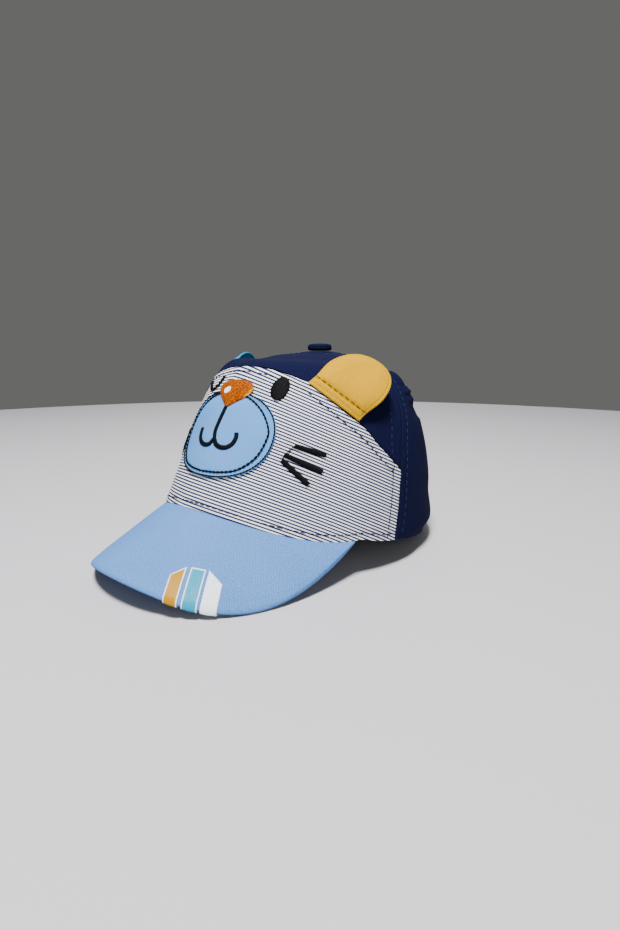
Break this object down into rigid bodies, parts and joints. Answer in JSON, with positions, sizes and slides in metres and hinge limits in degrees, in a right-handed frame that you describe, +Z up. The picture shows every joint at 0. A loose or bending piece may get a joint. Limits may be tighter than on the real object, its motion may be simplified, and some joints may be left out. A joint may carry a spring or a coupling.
{
  "type": "child's baseball cap with animal ears",
  "caption": "Child's soft baseball cap with padded round animal ears, a striped front, an embroidered animal face and a stiff curved brim.",
  "frame": {"origin": "under the middle of the bounding box, on the surface the cap stands on", "axes": "+Z up, -Y towards the tip of the brim, +X towards the wearer's left"},
  "size_m": [0.146, 0.2132, 0.1122],
  "materials": {
    "striped_cotton": "white cotton with fine navy stripes",
    "navy_twill": "matt navy cotton twill",
    "sky_twill": "matt light blue cotton twill",
    "muzzle_cloth": "smooth pale blue cloth",
    "yellow_twill": "matt golden yellow cotton twill",
    "teal_twill": "matt teal cotton twill",
    "orange_thread": "satin embroidery thread, orange brown",
    "black_thread": "satin embroidery thread, black",
    "yellow_satin": "shiny woven satin ribbon, yellow",
    "teal_satin": "shiny woven satin ribbon, teal",
    "white_satin": "shiny woven satin ribbon, white"
  },
  "bodies": {
    "root": {"front_panel": "striped_cotton", "crown_yoke": "navy_twill", "back_panel_left": "navy_twill", "back_panel_right": "navy_twill", "top_button": "navy_twill", "brim": "sky_twill", "ear_left": "yellow_twill", "ear_right": "teal_twill", "muzzle_patch": "muzzle_cloth", "nose": "orange_thread", "eye_open": "black_thread", "eye_wink": "black_thread", "mouth": "black_thread", "whisker_left_1": "black_thread", "whisker_left_2": "black_thread", "whisker_left_3": "black_thread", "whisker_right_1": "black_thread", "whisker_right_2": "black_thread", "whisker_right_3": "black_thread", "tab_yellow": "yellow_satin", "tab_teal": "teal_satin", "tab_white": "white_satin"}
  },
  "joints": []
}
